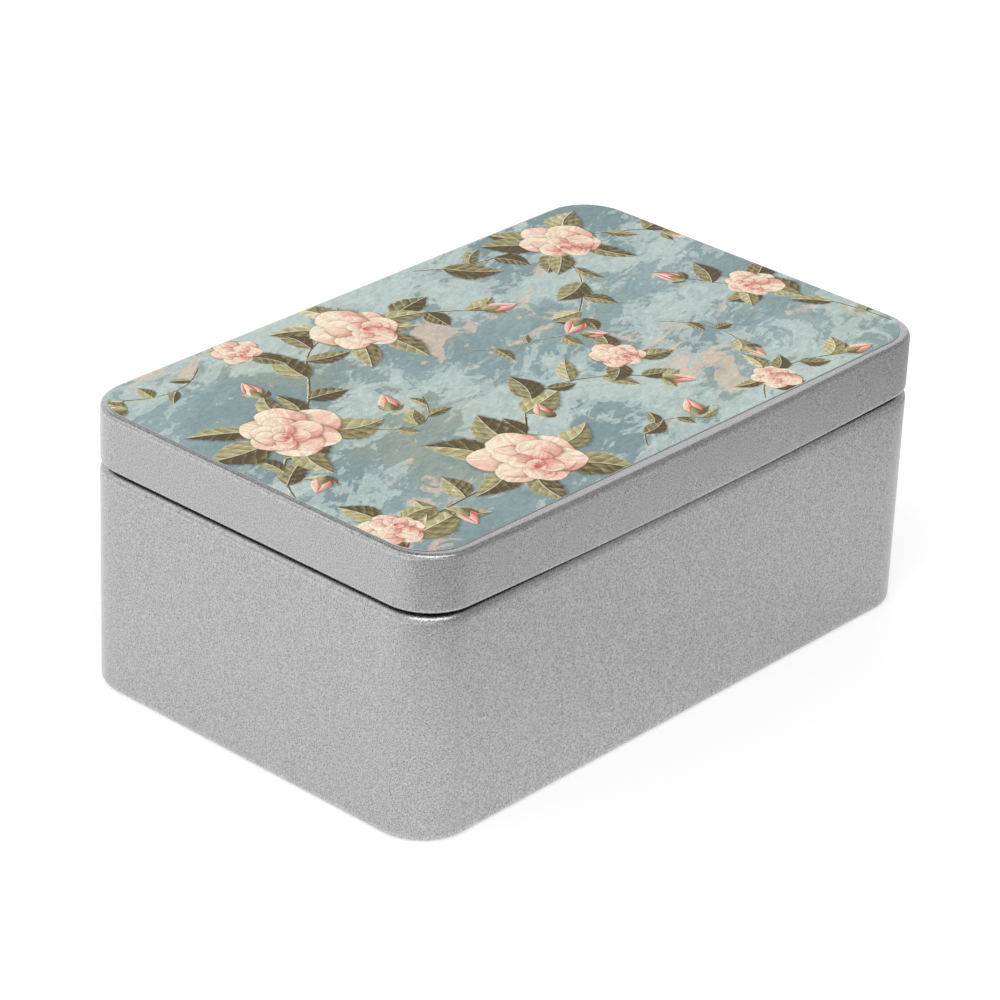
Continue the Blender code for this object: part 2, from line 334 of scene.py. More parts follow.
def cap_surface(plan, section, bow=None):
    """A cap: a flat grid, the section's rings round its border, and a second grid under it.

    section is an array of (u, v). bow moves front and rear points by a function of x and v.
    Returns points, quads, the ring that each point is on, and how many quads each grid has.
    """
    rings = []
    for u, v in section:
        (x, front), (_, rear) = plan.side(u, -1), plan.side(u, 1)
        if bow:
            front = front - bow(x, v, -1)
            rear = rear + bow(x, v, 1)
        rings.append((x, front, rear, v))
    levels = len(rings)

    def flat(ring):
        x, front, rear, v = ring
        y = plan.sheet_grid(front, rear)
        return np.stack((np.broadcast_to(x, y.shape), y, np.full_like(y, v)), axis=-1)

    def border(ring):
        x, front, rear, v = ring
        around = plan.both(x)
        return np.stack((around, plan.loop(front, rear), np.full_like(around, v)), axis=-1)

    over, under = flat(rings[0]), flat(rings[-1])
    walls = [border(ring) for ring in rings[1:-1]]
    size = over.shape[0] * over.shape[1]
    around = len(plan.both(plan.anchor_x))
    over_index = np.arange(size).reshape(over.shape[:2])
    wall_index = size + np.arange((levels - 2) * around).reshape(levels - 2, around)
    under_index = size + wall_index.size + over_index
    loops = [loop_of(over_index), *wall_index, loop_of(under_index)]
    bands = [band_quads(upper, lower) for upper, lower in zip(loops, loops[1:])]
    points = np.concatenate((over.reshape(-1, 3), *walls, under.reshape(-1, 3)))
    quads = np.concatenate((grid_quads(over_index), *bands, grid_quads(under_index)[:, ::-1]))
    middle = np.repeat(np.arange(1, levels - 1), around)
    ring = np.concatenate((np.zeros(size, int), middle, np.full(size, levels - 1)))
    return points, outward(points, quads), ring, (over.shape[0] - 1) * (over.shape[1] - 1)


def tube_surface(points):
    """A closed surface from points shaped (stations, section, 3), joined round both ways."""
    stations, around, _ = points.shape
    index = np.arange(stations * around).reshape(stations, around)
    ahead = np.roll(index, -1, axis=0)
    quads = np.stack((index, ahead, np.roll(ahead, -1, axis=1), np.roll(index, -1, axis=1)), axis=-1)
    flat = points.reshape(-1, 3)
    return flat, outward(flat, quads.reshape(-1, 4))


def add_piece(name, points, quads, materials, node, body, split=None, bend=None):
    """Makes one piece, hides the CAD node that it stands for and lets it ride on that body.

    split marks the quads that take the second material. bend is 1 on rounded edges.
    """
    mesh = bpy.data.meshes.new(name)
    mesh.from_pydata(points.tolist(), [], quads.tolist())
    if bend is not None:
        mesh.attributes.new("rounded", "FLOAT", "POINT").data.foreach_set("value", bend.astype(np.float32))
    for material in materials:
        mesh.materials.append(material)
    if split is not None:
        mesh.polygons.foreach_set("material_index", split.astype(np.int32))
    mesh.update()
    mesh.shade_smooth()
    mesh.set_sharp_from_angle(angle=SMOOTH_BELOW)
    piece = bpy.data.objects.new(name, mesh)
    bpy.context.scene.collection.objects.link(piece)
    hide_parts(node)
    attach(piece, body)
    return piece


def feed(socket, value):
    """Links a field to a socket, or sets the socket to a plain value. A plain colour is opaque."""
    if isinstance(value, Field):
        value.tree.links.new(value.socket, socket)
    else:
        socket.default_value = (*value, 1) if socket.type == "RGBA" else value


def new_field(tree, kind, output, inputs=(), **options):
    """The output of a new node. inputs pairs its sockets with fields or plain values."""
    node = tree.nodes.new(f"ShaderNode{kind}")
    for name, value in options.items():
        setattr(node, name, value)
    for label, value in dict(inputs).items():
        feed(node.inputs[label], value)
    return Field(tree, node.outputs[output])


def math_method(operation, turned=False):
    """A method that works its operation on a field and others. Where turned, the field is last."""

    def method(self, *others):
        values = (*others, self) if turned else (self, *others)
        return new_field(self.tree, "Math", 0, enumerate(values), operation=operation)

    return method


class Field:
    """A value that varies over a surface, held as a node's output. Its arithmetic makes math nodes."""

    __add__ = __radd__ = math_method("ADD")
    __sub__ = math_method("SUBTRACT")
    __rsub__ = math_method("SUBTRACT", turned=True)
    __mul__ = __rmul__ = math_method("MULTIPLY")
    __truediv__ = math_method("DIVIDE")
    __rtruediv__ = math_method("DIVIDE", turned=True)
    power = math_method("POWER")
    sine = math_method("SINE")
    size = math_method("ABSOLUTE")
    root = math_method("SQRT")
    floor = math_method("FLOOR")
    fraction = math_method("FRACT")
    least = math_method("MINIMUM")
    most = math_method("MAXIMUM")

    def __init__(self, tree, socket):
        self.tree = tree
        self.socket = socket

    def eased(self, low, high):
        """0 below low, 1 above high and a smooth step between. Turned round where low is higher."""
        inputs = {"Value": self, "From Min": low, "From Max": high}
        options = {"interpolation_type": "SMOOTHSTEP", "clamp": False}
        return new_field(self.tree, "MapRange", "Result", inputs, **options)


def mixed(factor, first, second):
    """The first colour where the factor is 0 and the second where it is 1."""
    inputs = {0: factor, 6: first, 7: second}
    return new_field(factor.tree, "Mix", 2, inputs, data_type="RGBA")


def scaled(tone, level):
    """A colour times a number."""
    return new_field(tone.tree, "VectorMath", 0, {0: tone, "Scale": level}, operation="SCALE")


def split_up(vector):
    """The three parts of a vector."""
    node = vector.tree.nodes.new("ShaderNodeSeparateXYZ")
    feed(node.inputs[0], vector)
    return [Field(vector.tree, socket) for socket in node.outputs]


def noise(place, scale, detail=2.0, roughness=0.5, distortion=0.0):
    """A noise of about 0.5 on average at a place."""
    inputs = {
        "Vector": place, "Scale": scale, "Detail": detail, "Roughness": roughness,
        "Distortion": distortion,
    }
    return new_field(place.tree, "TexNoise", 0, inputs)


def mottle(x, y, z=0.0, *details):
    """A noise at a place given by its parts, with the details that noise takes."""
    return noise(new_field(x.tree, "CombineXYZ", 0, {0: x, 1: y, 2: z}), 1.0, *details)


def start_group(name, inputs, outputs):
    """An empty shader group. inputs and outputs map names to socket types."""
    group = bpy.data.node_groups.new(name, "ShaderNodeTree")
    for way, sockets in (("INPUT", inputs), ("OUTPUT", outputs)):
        for label, kind in sockets.items():
            group.interface.new_socket(label, in_out=way, socket_type=f"NodeSocket{kind}")
    source = group.nodes.new("NodeGroupInput")
    sink = group.nodes.new("NodeGroupOutput")
    given = {label: Field(group, source.outputs[label]) for label in inputs}
    return group, given, sink


def placed(tree, group, **values):
    """Puts a group into a tree with its inputs set, and returns its outputs by name."""
    node = tree.nodes.new("ShaderNodeGroup")
    node.node_tree = group
    for label, value in values.items():
        feed(node.inputs[label.replace("_", " ")], value)
    return {socket.name: Field(tree, socket) for socket in node.outputs}


def grain_group():
    """Fine even grain of matt tinplate.

    Two noises about zero, one at the grain's size and one at about twice that, are added. The
    colour is scaled by one plus that sum times the depth, and a few bright and dark specks stand
    out of it. Rounded edges are rubbed smoother, and their colour is lightened as a painted
    highlight, broken up by a noise.
    """
    inputs = {"Place": "Vector", "Tone": "Color"}
    inputs |= dict.fromkeys(("Grain Size", "Depth", "Rounded", "Roughness", "Rub"), "Float")
    outputs = {"Colour": "Color", "Roughness": "Float", "Height": "Float"}
    group, given, sink = start_group("tin_grain", inputs, outputs)
    place = given["Place"]
    scale = 0.5 / given["Grain Size"]
    fine = noise(place, scale, 0.0) - 0.5
    coarse = noise(place, scale * 0.55, 0.0) - 0.5
    bright = noise(place, scale * 0.61, 0.0).eased(0.76, 0.84)
    dark = noise(place, scale * 0.37, 0.0).eased(0.83, 0.87)
    cloud = noise(place, 38.0) - 0.5
    grain = fine * 3.8 + coarse * 0.2
    # Rounded edges: colour lightened as a painted highlight, roughness lowered as rubbed wear
    rub_and_highlight = given["Rounded"] * given["Rub"] * noise(place, 1400.0, 1.0, 0.6).eased(0.30, 0.70)
    level = 1.0 + grain * given["Depth"] + cloud * 0.02 + rub_and_highlight * 0.25 + bright * 0.20 - dark * 0.30
    feed(sink.inputs["Colour"], scaled(given["Tone"], level))
    feed(sink.inputs["Roughness"], given["Roughness"] + grain * 0.05 + cloud * 0.05 - rub_and_highlight * 0.05)
    feed(sink.inputs["Height"], fine + coarse * 0.4)
    return group


def laid_over(given, spread):
    """A motif's own x, y and number. The paint spreads by up to this much over pale paint below.

    It also makes each layer wait for the one below, so that the renderer's stack holds only one.
    """
    inputs = {0: given["Under"], 1: (spread, spread, 0), 2: given["Place"]}
    return split_up(new_field(given["Place"].tree, "VectorMath", 0, inputs, operation="MULTIPLY_ADD"))


def motif_code(given):
    """A motif's own x and y, and its packed third number: 8 times a depth from 0 to 3, plus a light
    level from 0 to 7, plus a random share. Depth and level come back from 0 to 1."""
    x, y, code = laid_over(given, 0.006)
    depth = (code * 0.125).floor()
    rest = code - depth * 8.0
    level = rest.floor()
    return x, y, depth / 3.0, level / LIGHT_LEVELS, rest - level


def within(x):
    """1 between a motif's base and tip, falling off just past them."""
    return x.eased(-END_FADE, 0.0) * x.eased(1 + END_FADE, 1.0)


def hump(t, kind):
    """A power of the sine of pi times a power of t, with the powers of that kind of motif."""
    stretch, sharpness = REACH[kind][:2]
    return (t.power(stretch) * math.pi).sine().most(0.0).power(sharpness)


def leaf_paint(given, finish):
    """A serrated leaf from (0, 0) to (1, 0), lit from its +y side.

    Its half width is a power of the sine of pi times a power of x, less a saw of small teeth. The
    blade is bent, pleated between slanting pale veins, and goes from dark to light across the
    midrib and from leaf to leaf. Its edge is dark on the shaded side and pale on the lit side.
    """
    x, y, _, level, seed = motif_code(given)
    tone = (seed * 7.31).fraction()
    breadth = (seed * 13.7).fraction()
    t = x.most(0.0).least(1.0)
    arch = (t * math.pi).sine()
    y = y - arch * 0.26 * ((seed * 3.77).fraction() - 0.5)
    ragged = (mottle(x * 5.0, y * 5.0, seed * 10.0) - 0.5) * arch
    teeth = (t * 7.0 - y.size() * 2.0).fraction() * arch * 0.035
    edge = hump(t, "leaf") * (0.23 + breadth * 0.14) - y.size() - teeth + ragged * 0.09
    lit = y.eased(-0.012, 0.012)
    slant = ((t - y.size() * 0.85) * 5.0 + lit * 0.4 + seed + ragged * 0.8).fraction()
    pleat = slant.eased(0.12, 0.95)
    vein = (slant - 0.08).size().eased(0.060, 0.010)
    wash = mottle(x * 4.0, y * 14.0, seed * 20.0, 3.0, 0.6)
    shine = lit * (0.30 + level * 0.30) + tone * 0.55 + wash * 1.10 - pleat * 0.22 - 0.58
    body = mixed(shine.eased(0.0, 1.0), finish.leaf_dark, finish.leaf_light)
    body = mixed(shine.eased(0.22, 0.0) * 0.55, body, finish.outline)
    body = mixed(shine.eased(0.75, 1.25) * 0.80, body, finish.cream)
    body = mixed(vein * (0.10 + lit * 0.25) * edge.eased(0.0, 0.06), body, finish.cream)
    body = mixed((y + 0.012).size().eased(0.020, 0.006) * 0.60, body, finish.outline)
    body = mixed((y - 0.006).size().eased(0.014, 0.002) * 0.65, body, finish.cream)
    line = edge.eased(0.026, 0.004)
    body = mixed(line * (1.0 - lit) * 0.80, body, finish.outline)
    body = mixed(line * lit * 0.50, body, finish.cream)
    shadow = edge.eased(-0.07, 0.0) * (1.0 - lit) * within(x) * 0.45
    ground = mixed(shadow, given["Under"], finish.outline)
    return edge.eased(0.0, 0.018) * within(x), ground, body


def stem_paint(given, finish):
    """A twig: x runs along it in millimetres and y across, from -1 to 1 over its width."""
    x, y, seed = laid_over(given, 0.05)
    knots = mottle(x * 0.55, seed * 10.0, 0.0, 2.0, 0.6)
    cover = (0.75 + (knots - 0.5) * 0.9 - y.size()).eased(0.0, 0.20)
    stripes = mottle(x * 1.3, y * 0.7, seed * 10.0, 1.0).eased(0.42, 0.60)
    body = mixed(y.eased(-0.4, 0.6), finish.outline, finish.leaf_light)
    light = (y - 0.35).size().eased(0.35, 0.05)
    body = mixed(light * stripes * 0.9, body, finish.cream)
    return cover * 0.95, given["Under"], body


def bud_paint(given, finish):
    """A bud from (0, 0) to (1, 0), lit from its +y side: wrapped petals in a calyx of sepals.

    Its half width is a power of the sine of pi times a power of x. The wraps are the fraction of a
    slanting sum of the share across and x, and the sepals end where a saw across the bud says.
    """
    x, y, _, level, seed = motif_code(given)
    t = x.most(0.0).least(1.0)
    ragged = mottle(x * 4.0, y * 4.0, seed * 10.0) - 0.5
    half = hump(t, "bud") * 0.28
    edge = half - y.size() + ragged * 0.04
    across = y / half.most(0.02)
    wrap = (across * 0.9 + t * 0.7 + seed + ragged * 0.35).fraction()
    body = mixed(wrap.eased(0.0, 0.45), finish.heart, finish.petal)
    body = mixed(wrap.eased(0.55, 0.92) * (0.55 + level * 0.4), body, finish.cream)
    body = mixed(across.eased(0.1, -0.9) * 0.65, body, finish.heart)
    body = mixed(edge.eased(0.04, 0.005) * across.eased(-0.2, 0.4) * 0.8, body, finish.cream)
    peaks = 1.0 - ((across * 0.75 + 0.5).fraction() - 0.5).size() * 2.0
    sepal_end = 0.20 + peaks * 0.36 + ragged * 0.15
    green = mixed(across.eased(-0.6, 0.8) + ragged, finish.leaf_dark, finish.leaf_light)
    body = mixed((sepal_end - t).eased(-0.01, 0.02), body, green)
    body = mixed((sepal_end - t - 0.01).size().eased(0.03, 0.0) * 0.75, body, finish.outline)
    shadow = edge.eased(-0.09, 0.0) * y.eased(0.04, -0.08) * within(x) * 0.5
    ground = mixed(shadow, given["Under"], finish.outline)
    return edge.eased(0.0, 0.02) * within(x), ground, body


def petal_paint(given, finish):
    """One petal of a blossom from its base (0, 0) to its tip (1, 0), lit from its +y side.

    Its half width is a power of the sine of pi times a power of x, wavy at the edge. It goes from
    a deep base to a pale tip in streaks, with a cream rim where it is lit and a rose line where it
    isn't, and shades what lies below. Deeper whorls are redder.
    """
    x, y, depth, level, seed = motif_code(given)
    t = x.most(0.0).least(1.0)
    y = y + t * t * 0.16 * ((seed * 5.3).fraction() - 0.5)
    wave = mottle(x * 2.6, y * 2.6, seed * 10.0) - 0.5
    edge = hump(t, "petal") * (0.40 + (seed * 3.1).fraction() * 0.10) - y.size() + wave * 0.16
    streaks = mottle(x * 1.8, y * 12.0, seed * 20.0, 2.0, 0.6)
    along = t + wave * 0.5 - y.size() * 0.25
    deep = mixed(depth, finish.petal_shade, finish.heart)
    pinker = (along + (streaks - 0.5) * 0.8).eased(0.12, 0.60 + depth * 0.35)
    body = mixed(pinker, deep, finish.petal)
    pale = streaks.eased(0.42, 0.58) * along.eased(0.28, 0.75) * (0.95 - depth * 0.50)
    body = mixed(pale, body, finish.cream)
    body = mixed(y.eased(0.00, 0.30) * (0.30 + level * 0.55), body, finish.cream)
    body = mixed(y.eased(-0.04, -0.40) * (0.80 - level * 0.35), body, finish.rose)
    body = mixed(edge.eased(0.075, 0.02) * y.eased(-0.20, 0.10) * 0.90, body, finish.cream)
    body = mixed(edge.eased(0.04, 0.0) * y.eased(0.10, -0.15) * 0.60, body, finish.heart)
    shadow = edge.eased(-0.12, 0.0) * (0.22 + y.eased(0.15, -0.25) * 0.40) * within(x)
    dark = mixed(depth * 0.8, finish.leaf_dark, finish.heart)
    return edge.eased(0.0, 0.025) * within(x), mixed(shadow, given["Under"], dark), body


PAINTS = {"stem": stem_paint, "leaf": leaf_paint, "bud": bud_paint, "petal": petal_paint}


def motif_group(kind, finish):
    """A group that lays a kind of motif over the colour below: its cover, shaded ground and body."""
    inputs = {"Place": "Vector", "Under": "Color"}
    group, given, sink = start_group(f"painted_{kind}", inputs, {"Colour": "Color"})
    feed(sink.inputs["Colour"], mixed(*PAINTS[kind](given, finish)))
    return group


def ground_group(finish):
    """Mottled painted ground: ragged dabs of pale haze, deeper blue, sage and blush with crisp edges.

    Each layer is a noise of several octaves, stretched along the strokes and shifted by a broad
    noise that gathers its dabs, cut off sharply at a level.
    """
    group, given, sink = start_group("mottled_ground", {"Place": "Vector"}, {"Colour": "Color"})
    x, y, _ = split_up(given["Place"])
    along = x * 0.94 + y * 0.34
    across = y * 0.94 - x * 0.34
    region = mottle(x * 26.0, y * 34.0, 5.0, 1.0) - 0.5
    where = mottle(x * 24.0, y * 30.0, 17.0, 1.0) - 0.5
    broad = mottle(along * 15.0, across * 26.0, 1.0)
    dabs = mottle(along * 62.0, across * 115.0, 3.0, 4.0, 0.66, 0.7)
    small = mottle(along * 170.0, across * 300.0, 7.0, 3.0, 0.62, 0.5)
    deep = mottle(along * 85.0, across * 150.0, 11.0, 4.0, 0.66, 0.7)
    patch = mottle(along * 95.0, across * 150.0, 13.0, 5.0, 0.66, 0.6)
    sage = mottle(x * 18.0, y * 20.0, 23.0)
    fleck = mottle(x * 330.0, y * 520.0, 19.0, 1.0)
    body = mixed(broad.eased(0.36, 0.64), finish.ground_deep, finish.ground)
    body = mixed(sage.eased(0.50, 0.68) * 0.60, body, finish.sage)
    body = mixed((dabs + region * 0.75).eased(0.490, 0.530) * 0.60, body, finish.haze)
    body = mixed((small + region * 0.80).eased(0.545, 0.585) * 0.50, body, finish.haze)
    body = mixed((deep - region * 0.60).eased(0.575, 0.605) * 0.55, body, finish.ground_deep)
    blush = (patch + where * 0.80).eased(0.640, 0.680)
    body = mixed(blush * (0.20 + small * 1.00), body, finish.blush)
    body = mixed((fleck + where * 0.30).eased(0.735, 0.765) * 0.75, body, finish.blush)
    feed(sink.inputs["Colour"], body)
    return group


def new_material(name, metallic):
    """A material with its tree and its Principled shader's inputs."""
    material = bpy.data.materials.new(name)
    material.use_nodes = True
    sockets = material.node_tree.nodes["Principled BSDF"].inputs
    sockets["Metallic"].default_value = metallic
    return material, material.node_tree, sockets


def object_place(tree):
    """Object coordinates, in metres."""
    return new_field(tree, "TexCoord", "Object")


def attribute(tree, name, output):
    """A named attribute of the mesh."""
    return new_field(tree, "Attribute", output, attribute_name=name)


def bump(height, strength, distance):
    """A normal that a height field tilts."""
    inputs = {"Height": height, "Strength": strength, "Distance": distance}
    return new_field(height.tree, "Bump", "Normal", inputs)


def tin_material(name, tone, roughness, depth, rub_and_highlight, finish, group):
    """Matt tinplate with fine grain, its rounded edges rubbed smoother and lightened as a painted
    highlight.
    """
    material, tree, sockets = new_material(name, 1.0)
    made = placed(
        tree, group, Place=object_place(tree), Tone=tone, Grain_Size=finish.grain_size, Depth=depth,
        Rounded=attribute(tree, "rounded", "Fac"), Roughness=roughness, Rub=rub_and_highlight,
    )
    feed(sockets["Base Color"], made["Colour"])
    feed(sockets["Roughness"], made["Roughness"])
    feed(sockets["Normal"], bump(made["Height"], 0.50, 0.00005))


def print_material(finish, layers, top):
    """The satin floral print: ground, then stems, leaves, buds and petals, layer on layer, and the
    sheet's white edge below its top. Two slanting noises stand for canvas and brush marks."""
    material, tree, sockets = new_material("floral_print", 0.0)
    place = object_place(tree)
    painted = placed(tree, ground_group(finish), Place=place)["Colour"]
    groups = {kind: motif_group(kind, finish) for kind in PAINTS}
    for kind, name in layers:
        motif = attribute(tree, name, "Vector")
        painted = placed(tree, groups[kind], Place=motif, Under=painted)["Colour"]
    x, y, z = split_up(place)
    canvas = mottle(x * 1500.0 + y * 600.0, y * 3200.0 - x * 1300.0, 0.0, 1.0, 0.6)
    brush = mottle(x * 420.0 + y * 150.0, y * 900.0 - x * 300.0, 9.0, 2.0, 0.6)
    painted = scaled(painted, 0.56 + canvas * 0.36 + brush * 0.52)
    side = z.eased(top - 0.00003, top - 0.00008)
    feed(sockets["Base Color"], mixed(side, painted, finish.cut_edge))
    feed(sockets["Roughness"], finish.print_roughness)
    feed(sockets["Specular IOR Level"], finish.print_gloss)
    feed(sockets["Normal"], bump(canvas, 0.12, 0.00008))
    return material


def bezier(points, share):
    """A cubic curve: the four points weighted by the Bernstein polynomials of the share."""
    t = np.asarray(share)[:, None]
    a, b, c, d = (np.array(p, float) for p in points)
    return a * (1 - t) ** 3 + 3 * b * t * (1 - t) ** 2 + 3 * c * t**2 * (1 - t) + d * t**3


def bezier_heading(points, share):
    """Direction of the cubic curve at a share, as an angle."""
    near = bezier(points, [max(share - 0.02, 0), min(share + 0.02, 1)])
    step = near[1] - near[0]
    return math.atan2(step[1], step[0])


# Sprays in millimetres on the lid: the twig's curve, its half width, leaves and leaf length
SPRAYS = (
    (((-74, -10), (-66, 6), (-52, 4), (-33, 27)), 0.50, 8, 12.5),
    (((-33, 27), (-22, 40), (-4, 38), (14, 22)), 0.45, 8, 12.0),
    (((-74, -40), (-56, -27), (-42, -42), (-19, -20)), 0.50, 8, 13.0),
    (((-19, -20), (-8, -8), (4, -10), (17, -24)), 0.40, 6, 11.0),
    (((20, 44), (34, 34), (54, 42), (74, 24)), 0.45, 8, 12.0),
    (((48, 36), (47, 20), (36, 13), (26, 6)), 0.35, 5, 10.0),
    (((73, -38), (73, -24), (67, -14), (58, 2)), 0.40, 5, 11.0),
    (((26, -44), (34, -36), (44, -38), (53, -43)), 0.35, 4, 8.0),
    (((-50, 41), (-58, 35), (-65, 37), (-72, 43)), 0.35, 4, 8.0),
    (((-8, -42), (-2, -34), (6, -38), (10, -44)), 0.30, 4, 7.0),
    (((-42, -2), (-36, -9), (-30, -6), (-26, 1)), 0.30, 4, 7.0),
    (((38, -8), (43, -13), (45, -20), (41, -26)), 0.28, 3, 6.5),
    (((-2, 10), (4, 4), (12, 6), (20, 0)), 0.25, 3, 6.0),
)

# Blossoms: x, y, radius, the way each faces in degrees and how many leaves stand out round it
BLOSSOMS = (
    (-56, 9, 11.0, 200, 5),
    (-12, 33, 9.8, 320, 5),
    (-30, -31, 11.5, 250, 6),
    (52, 34, 9.2, 240, 5),
    (18, -12, 6.2, 290, 3),
    (66, -8, 6.4, 160, 3),
    (-70, -33, 6.6, 20, 3),
    (-38, 42, 5.6, 270, 2),
    (34, -40, 5.4, 60, 2),
)

# Buds: x, y of the base, the way each points in degrees, and its length
BUDS = (
    (-72, 38, 140, 8.0),
    (-34, 2, 60, 7.5),
    (14, 22, -20, 8.0),
    (17, -25, -50, 7.0),
    (9, -41, 60, 7.5),
    (73, 23, -60, 8.0),
    (57, 3, 110, 7.5),
    (54, -43, -10, 7.0),
    (-49, 24, 75, 7.5),
    (-55, -36, -110, 7.0),
    (26, 5, 200, 8.5),
    (41, -27, -100, 6.0),
    (-14, -21, 60, 6.5),
    (-64, -9, -150, 7.5),
    (20, 0, -35, 6.0),
)

# Whorls from the outside in: petals, length over radius, hidden share, lean outwards, depth and
# how far each petal's base lies behind the whorl's centre, over its length
WHORLS = (
    (6, 1.00, 0.42, 0.16, 0, 0.0),
    (5, 0.74, 0.38, 0.08, 1, 0.0),
    (4, 0.52, 0.30, 0.0, 2, 0.06),
    (3, 0.34, 0.0, 0.0, 3, 0.42),
)

# The way that the print's painted light comes from on the sheet, and its steps from shade to light
LIGHT = math.radians(125)
LIGHT_LEVELS = 7

PAINT_SEED = 11
CURVE_POINTS = 33

# Where a layer shows nothing, how far a motif fades past its ends, and a margin at a hidden base
EMPTY_PLACE = (9.0, 9.0, 0.0)
END_FADE = 0.05
BASE_MARGIN = 0.02


def motif_number(angle, depth, share):
    """A motif's third number: 8 times its depth, its light level by its way, and a random share."""
    level = round(LIGHT_LEVELS * (0.5 + 0.5 * math.cos(angle - LIGHT)))
    return 8 * depth + level + share


def leaf_motifs(random):
    """Leaves on both sides of each twig, round the blossoms and beside the buds."""
    motifs = []
    for points, _, leaves, size in SPRAYS:
        for k in range(leaves):
            share = (k + 0.6) / leaves
            x, y = bezier(points, [share])[0]
            side = 1 if k % 2 else -1
            angle = bezier_heading(points, share) + side * math.radians(random.uniform(20, 75))
            motifs.append(("leaf", x, y, angle, size * random.uniform(0.60, 1.15), 0.0, 0))
    for x, y, radius, _, leaves in BLOSSOMS:
        start = random.uniform(0, math.tau)
        for k in range(leaves):
            angle = start + math.tau * (k + random.uniform(-0.3, 0.3)) / leaves
            reach = 0.55 * radius
            base = (x + reach * math.cos(angle), y + reach * math.sin(angle))
            size = radius * random.uniform(0.80, 1.10) + 3.0
            motifs.append(("leaf", *base, angle + random.uniform(-0.5, 0.5), size, 0.0, 0))
    for x, y, degrees, size in BUDS:
        for turn in (-48, 42):
            angle = math.radians(degrees + turn + random.uniform(-14, 14))
            motifs.append(("leaf", x, y, angle, size * random.uniform(0.45, 0.75), 0.0, 0))
    return motifs


def petal_motifs(random):
    """Each blossom's petals, whorl by whorl, from the outside in.

    A blossom faces one way: its whorls move that way as they go in, and its petals are longer on
    the other side. Every second petal of a whorl is painted first, so neighbours overlap.
    """
    motifs = []
    for x, y, radius, facing, _ in BLOSSOMS:
        facing = math.radians(facing)
        start = random.uniform(0, math.tau)
        for petals, reach, hidden, lean, depth, behind in WHORLS:
            shift = (0.30 - lean) * radius * (1 - reach * 0.7)
            base_x = x + shift * math.cos(facing)
            base_y = y + shift * math.sin(facing)
            start += math.pi / petals
            for k in (*range(0, petals, 2), *range(1, petals, 2)):
                angle = start + math.tau * (k + random.uniform(-0.14, 0.14)) / petals
                longer = 1 + lean * math.cos(angle - facing - math.pi)
                size = radius * reach * longer * random.uniform(0.90, 1.08)
                back = behind * size
                base = (base_x - back * math.cos(angle), base_y - back * math.sin(angle))
                motifs.append(("petal", *base, angle, size, hidden, depth))
    return motifs


def print_motifs(seed):
    """All motifs in painting order: kind, x, y, angle, size, hidden share at the base, number."""
    random = np.random.default_rng(seed)
    motifs = leaf_motifs(random)
    motifs += [("bud", x, y, math.radians(degrees), size, 0.0, 0) for x, y, degrees, size in BUDS]
    motifs += petal_motifs(random)
    return [
        (*motif[:6], motif_number(motif[3], motif[6], random.uniform(0.02, 0.98))) for motif in motifs
    ]


# Outlines by kind: powers of x and of the sine, then half widths that hold a motif with its shadow
# and that it surely fills, each as a factor of that hump and a margin
REACH = {
    "leaf": (0.80, 0.90, 0.47, 0.05, 0.22, 0.22),
    "bud": (0.70, 0.80, 0.28, 0.08, 0.28, 0.06),
    "petal": (1.30, 0.58, 0.48, 0.06, 0.40, 0.13),
}


def motif_places(corners, x, y, angle, size):
    """Positions in a motif's own frame: moved to its base, turned back and divided by its size.

    The side turned to the light is made positive.
    """
    dx = corners[..., 0] - x
    dy = corners[..., 1] - y
    along = (dx * math.cos(angle) + dy * math.sin(angle)) / size
    across = (dy * math.cos(angle) - dx * math.sin(angle)) / size
    return along, across * math.copysign(1, math.sin(LIGHT - angle))


def stem_places(corners, curve):
    """Corner positions along and across a twig, from the nearest of its short straight pieces."""
    start, step = curve[:-1], np.diff(curve, axis=0)
    size = np.hypot(step[:, 0], step[:, 1])
    away = corners[..., None, :] - start
    share = np.clip((away * step).sum(-1) / size**2, 0, 1)
    gap = away - step * share[..., None]
    nearest = np.hypot(gap[..., 0], gap[..., 1]).argmin(-1)[..., None]
    run = share * size + np.concatenate(([0], np.cumsum(size)[:-1]))
    signed = (away[..., 1] * step[:, 0] - away[..., 0] * step[:, 1]) / size
    return tuple(np.take_along_axis(part, nearest, -1)[..., 0] for part in (run, signed))


